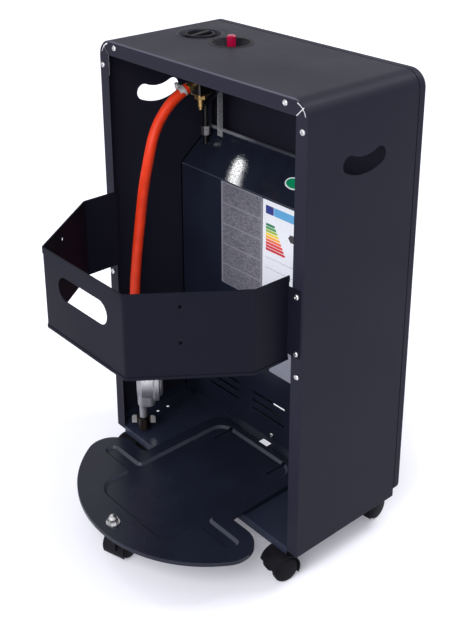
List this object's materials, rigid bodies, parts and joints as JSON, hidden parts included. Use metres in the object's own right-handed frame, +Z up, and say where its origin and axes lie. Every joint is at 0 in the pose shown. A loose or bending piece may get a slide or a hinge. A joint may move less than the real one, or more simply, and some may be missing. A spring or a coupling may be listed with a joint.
{
  "type": "portable gas cabinet heater",
  "caption": "Portable black cabinet gas heater seen with its bottle bay open: tray and retaining band behind, orange hose and regulator, knob and red igniter on top, ceramic burner in front.",
  "frame": {"origin": "on the floor, under the middle of the bounding box of cabinet, tray and band", "axes": "+Z up, -Y out of the burner front, +Y out of the open bottle bay, +X towards the side with the control knob and regulator"},
  "size_m": [0.42, 0.4034, 0.7116],
  "materials": {
    "shell_paint": "matte charcoal-black powder coat",
    "gloss_enamel": "glossy black enamel with slight orange peel",
    "zinc": "bright zinc plate",
    "brass": "machined brass",
    "steel": "plain bright steel",
    "reflector_steel": "polished stainless steel",
    "ceramic": "matte perforated ceramic",
    "black_plastic": "satin black plastic",
    "wheel_plastic": "satin black nylon",
    "red_plastic": "glossy red plastic",
    "hose_rubber": "satin orange-red rubber",
    "cast_zinc": "sand-textured grey die casting",
    "nut_brown": "dark oxidised brass"
  },
  "bodies": {
    "cabinet": {"cabinet_shell": "shell_paint", "corner_gusset_left": "zinc", "corner_gusset_right": "zinc", "front_frame": "shell_paint", "front_louvre_panel": "shell_paint", "back_plate": "gloss_enamel", "base_plate": "gloss_enamel", "bottle_tray": "gloss_enamel", "tray_nut": "zinc", "retaining_band": "shell_paint", "knob_bezel": "black_plastic", "valve_body": "brass", "valve_strut": "steel", "igniter_well": "black_plastic", "igniter_body": "black_plastic", "feed_pipe": "steel", "injector": "brass", "burner_body": "steel", "ceramic_plaque_1": "ceramic", "ceramic_plaque_2": "ceramic", "ceramic_plaque_3": "ceramic", "reflector": "reflector_steel", "guard_grille": "zinc", "pilot_assembly": "steel", "hose_tail": "brass", "hose_clamp_valve": "zinc", "gas_hose": "hose_rubber", "hose_clamp_regulator": "zinc", "regulator_body": "cast_zinc", "regulator_bonnet": "cast_zinc", "castor_rear_right_mount": "zinc", "castor_rear_left_mount": "zinc", "castor_front_right_mount": "zinc", "castor_front_left_mount": "zinc", "castor_tray_mount": "zinc"},
    "knob_press_collar": {"spindle_collar": "steel"},
    "knob": {"control_knob": "black_plastic", "valve_spindle": "steel"},
    "igniter": {"igniter_button": "red_plastic"},
    "regulator_nut": {"union_nut": "nut_brown"},
    "castor_rear_right": {"castor_rear_right_hood": "black_plastic"},
    "castor_rear_right_wheel_a": {"castor_rear_right_wheel_a": "wheel_plastic"},
    "castor_rear_right_wheel_b": {"castor_rear_right_wheel_b": "wheel_plastic"},
    "castor_rear_left": {"castor_rear_left_hood": "black_plastic"},
    "castor_rear_left_wheel_a": {"castor_rear_left_wheel_a": "wheel_plastic"},
    "castor_rear_left_wheel_b": {"castor_rear_left_wheel_b": "wheel_plastic"},
    "castor_front_right": {"castor_front_right_hood": "black_plastic"},
    "castor_front_right_wheel_a": {"castor_front_right_wheel_a": "wheel_plastic"},
    "castor_front_right_wheel_b": {"castor_front_right_wheel_b": "wheel_plastic"},
    "castor_front_left": {"castor_front_left_hood": "black_plastic"},
    "castor_front_left_wheel_a": {"castor_front_left_wheel_a": "wheel_plastic"},
    "castor_front_left_wheel_b": {"castor_front_left_wheel_b": "wheel_plastic"},
    "castor_tray": {"castor_tray_hood": "black_plastic"},
    "castor_tray_wheel_a": {"castor_tray_wheel_a": "wheel_plastic"},
    "castor_tray_wheel_b": {"castor_tray_wheel_b": "wheel_plastic"}
  },
  "joints": [
    {"name": "knob_press", "type": "slide", "parent": "cabinet", "child": "knob_press_collar", "axis": [0, 0, -1], "range_m": [0, 0.004], "stiffness_N_per_m": 1500, "springref_m": -0.002},
    {"name": "knob_turn", "type": "hinge", "parent": "knob_press_collar", "child": "knob", "pos_m": [0.132, -0.10725, 0.7], "axis": [0, 0, 1], "range_deg": [0, 210]},
    {"name": "igniter_press", "type": "slide", "parent": "cabinet", "child": "igniter", "axis": [0, 0, -1], "range_m": [0, 0.006], "stiffness_N_per_m": 1200, "springref_m": -0.002},
    {"name": "union_nut_turn", "type": "hinge", "parent": "cabinet", "child": "regulator_nut", "pos_m": [0.159, -0.00125, 0.075], "axis": [0, 0, 1], "continuous": true},
    {"name": "castor_rear_right_swivel", "type": "hinge", "parent": "cabinet", "child": "castor_rear_right", "pos_m": [-0.18, -0.00425, 0.035], "axis": [0, 0, 1], "continuous": true},
    {"name": "castor_rear_right_wheel_a_spin", "type": "hinge", "parent": "castor_rear_right", "child": "castor_rear_right_wheel_a", "pos_m": [-0.17687, 0.01348, 0.019], "axis": [0.9848, -0.1736, 0], "continuous": true},
    {"name": "castor_rear_right_wheel_b_spin", "type": "hinge", "parent": "castor_rear_right", "child": "castor_rear_right_wheel_b", "pos_m": [-0.17687, 0.01348, 0.019], "axis": [0.9848, -0.1736, 0], "continuous": true},
    {"name": "castor_rear_left_swivel", "type": "hinge", "parent": "cabinet", "child": "castor_rear_left", "pos_m": [0.18, -0.00425, 0.035], "axis": [0, 0, 1], "continuous": true},
    {"name": "castor_rear_left_wheel_a_spin", "type": "hinge", "parent": "castor_rear_left", "child": "castor_rear_left_wheel_a", "pos_m": [0.17687, 0.01348, 0.019], "axis": [0.9848, 0.1736, 0], "continuous": true},
    {"name": "castor_rear_left_wheel_b_spin", "type": "hinge", "parent": "castor_rear_left", "child": "castor_rear_left_wheel_b", "pos_m": [0.17687, 0.01348, 0.019], "axis": [0.9848, 0.1736, 0], "continuous": true},
    {"name": "castor_front_right_swivel", "type": "hinge", "parent": "cabinet", "child": "castor_front_right", "pos_m": [-0.173, -0.15975, 0.035], "axis": [0, 0, 1], "continuous": true},
    {"name": "castor_front_right_wheel_a_spin", "type": "hinge", "parent": "castor_front_right", "child": "castor_front_right_wheel_a", "pos_m": [-0.17112, -0.17765, 0.019], "axis": [-0.9945, -0.1045, 0], "continuous": true},
    {"name": "castor_front_right_wheel_b_spin", "type": "hinge", "parent": "castor_front_right", "child": "castor_front_right_wheel_b", "pos_m": [-0.17112, -0.17765, 0.019], "axis": [-0.9945, -0.1045, 0], "continuous": true},
    {"name": "castor_front_left_swivel", "type": "hinge", "parent": "cabinet", "child": "castor_front_left", "pos_m": [0.173, -0.15975, 0.035], "axis": [0, 0, 1], "continuous": true},
    {"name": "castor_front_left_wheel_a_spin", "type": "hinge", "parent": "castor_front_left", "child": "castor_front_left_wheel_a", "pos_m": [0.1705, -0.17758, 0.019], "axis": [-0.9903, 0.1392, 0], "continuous": true},
    {"name": "castor_front_left_wheel_b_spin", "type": "hinge", "parent": "castor_front_left", "child": "castor_front_left_wheel_b", "pos_m": [0.1705, -0.17758, 0.019], "axis": [-0.9903, 0.1392, 0], "continuous": true},
    {"name": "castor_tray_swivel", "type": "hinge", "parent": "cabinet", "child": "castor_tray", "pos_m": [0, 0.17175, 0.035], "axis": [0, 0, 1], "continuous": true},
    {"name": "castor_tray_wheel_a_spin", "type": "hinge", "parent": "castor_tray", "child": "castor_tray_wheel_a", "pos_m": [0.00526, 0.15454, 0.019], "axis": [-0.9563, -0.2924, 0], "continuous": true},
    {"name": "castor_tray_wheel_b_spin", "type": "hinge", "parent": "castor_tray", "child": "castor_tray_wheel_b", "pos_m": [0.00526, 0.15454, 0.019], "axis": [-0.9563, -0.2924, 0], "continuous": true}
  ]
}
